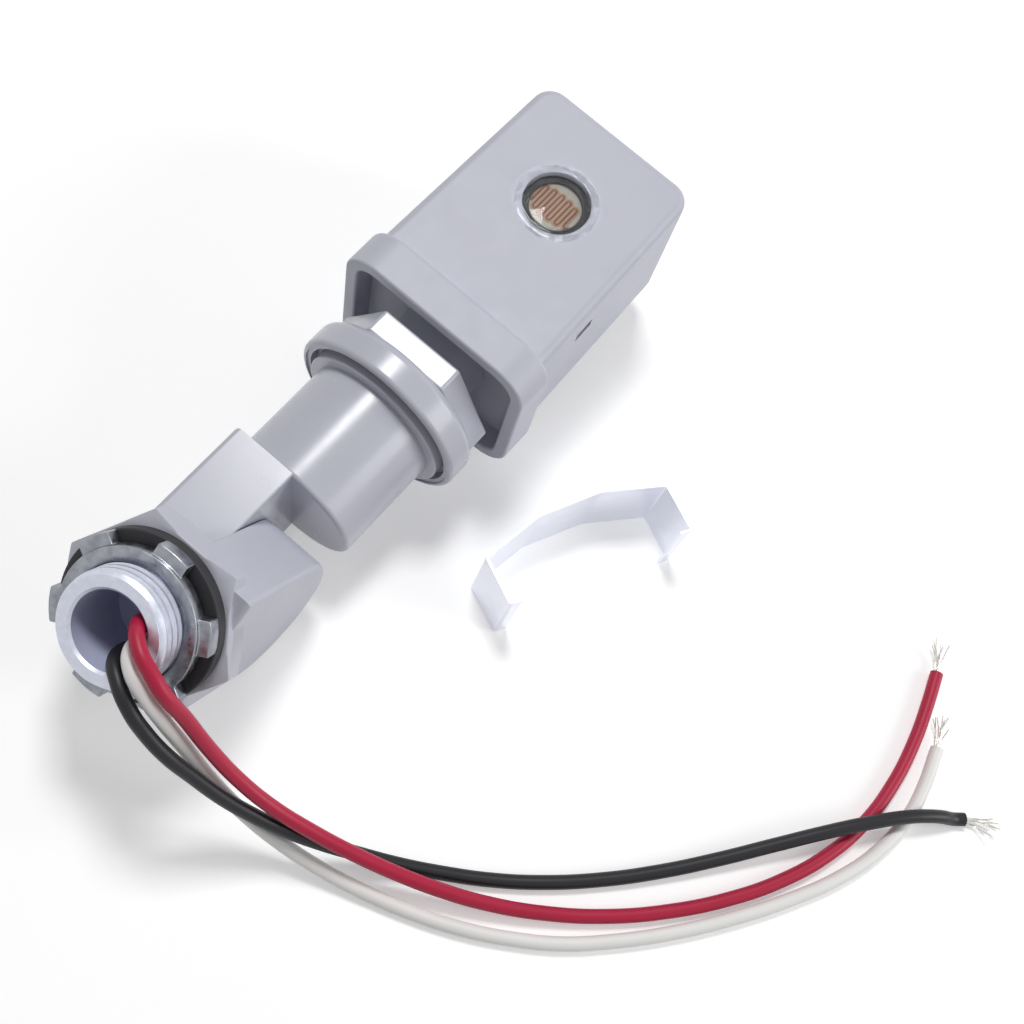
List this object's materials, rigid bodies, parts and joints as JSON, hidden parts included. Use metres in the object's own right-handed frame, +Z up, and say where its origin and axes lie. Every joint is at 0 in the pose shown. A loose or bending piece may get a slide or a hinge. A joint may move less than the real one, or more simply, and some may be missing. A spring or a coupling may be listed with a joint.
{
  "type": "photocell switch",
  "caption": "Dusk-to-dawn photocell switch: a moulded head with a clear round lens on a swivel knuckle and a threaded conduit nipple with gasket, locknut and lead wires.",
  "frame": {"origin": "centre of the hexagon face that the gasket seats on, on the nipple axis", "axes": "X runs along the part from the knuckle to the head, Y along the swivel pin, Z up from what it lies on"},
  "size_m": [0.1537, 0.1682, 0.0474],
  "materials": {
    "stem_metal": "satin casting, machined thread",
    "gasket_rubber": "matte",
    "zinc": "bright zinc plate",
    "screw_steel": "zinc plate",
    "barrel_plastic": "gloss",
    "housing_plastic": "satin",
    "lens_clear": "clear, polished",
    "seal_rubber": "matte",
    "ceramic": "fired ceramic",
    "board": "laminate",
    "bimetal": "rolled",
    "resistor": "lacquer",
    "varistor": "epoxy",
    "tinned_wire": "tinned copper",
    "black_insulation": "satin",
    "red_insulation": "satin",
    "white_insulation": "satin",
    "clip_metal": "bright plated strip"
  },
  "bodies": {
    "stem": {"mounting_stem": "stem_metal", "sealing_gasket": "gasket_rubber", "locknut": "zinc", "pivot_screw": "screw_steel", "pivot_washer": "screw_steel", "black_wire": "black_insulation", "red_wire": "red_insulation", "white_wire": "white_insulation", "black_strands": "tinned_wire", "red_strands": "tinned_wire", "white_strands": "tinned_wire", "light_shield_clip": "clip_metal"},
    "head": {"swivel_barrel": "barrel_plastic", "flange_ring": "barrel_plastic", "base": "housing_plastic", "circuit_board": "board", "photocell": "ceramic", "photocell_leads": "tinned_wire", "heater_resistor": "resistor", "bimetal_blade": "bimetal", "blade_bracket": "bimetal", "contact_bracket": "bimetal", "surge_varistor": "varistor", "cover": "housing_plastic", "lens_seal": "seal_rubber", "lens": "lens_clear"}
  },
  "joints": [
    {"name": "head_swivel", "type": "hinge", "parent": "stem", "child": "head", "pos_m": [0.01894, 0, -0.01782], "axis": [0, 1, 0], "range_deg": [-40, 140]}
  ]
}
